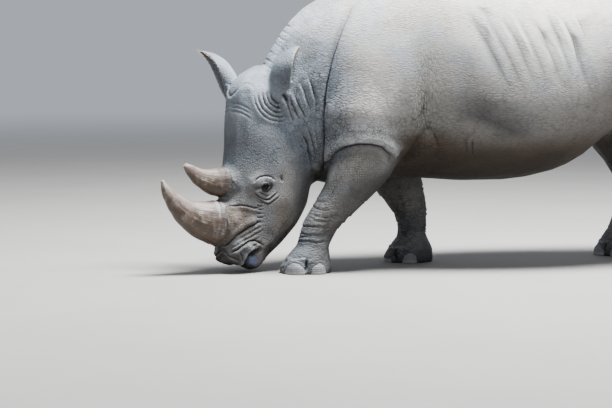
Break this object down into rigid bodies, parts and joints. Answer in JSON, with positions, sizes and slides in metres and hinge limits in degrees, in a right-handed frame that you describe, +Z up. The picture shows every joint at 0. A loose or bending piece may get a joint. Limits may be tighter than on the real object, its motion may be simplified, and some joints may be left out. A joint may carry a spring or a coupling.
{
  "type": "white rhinoceros",
  "caption": "Life-size white rhinoceros walking with its head lowered to the ground, standing still in that pose on four feet.",
  "frame": {"origin": "middle of the box of the whole animal, on the ground", "axes": "+Z up, the head points along -X, the animal's left side along -Y"},
  "size_m": [3.5622, 1.0638, 1.7529],
  "materials": {
    "skin": "thick dry grey hide with cracked wrinkles and tan dust",
    "horn": "fibrous tan keratin, darker and browner below, worn smooth at the tip",
    "nail": "broad worn grey toenails with a lighter edge",
    "eye": "wet, nearly black",
    "bristle": "coarse dark hair"
  },
  "bodies": {
    "root": {"head": "skin", "lower_lip": "skin", "neck": "skin", "trunk": "skin", "tail": "skin", "ear_left": "skin", "ear_right": "skin", "front_left_leg": "skin", "front_left_foot": "skin", "front_right_leg": "skin", "front_right_foot": "skin", "hind_left_leg": "skin", "hind_left_foot": "skin", "hind_right_leg": "skin", "hind_right_foot": "skin", "horn_front": "horn", "horn_rear": "horn", "eye_left": "eye", "eye_right": "eye", "tail_tuft": "bristle", "front_left_nail_front": "nail", "front_left_nail_inner": "nail", "front_left_nail_outer": "nail", "front_right_nail_front": "nail", "front_right_nail_inner": "nail", "front_right_nail_outer": "nail", "hind_left_nail_front": "nail", "hind_left_nail_inner": "nail", "hind_left_nail_outer": "nail", "hind_right_nail_front": "nail", "hind_right_nail_inner": "nail", "hind_right_nail_outer": "nail"}
  },
  "joints": []
}
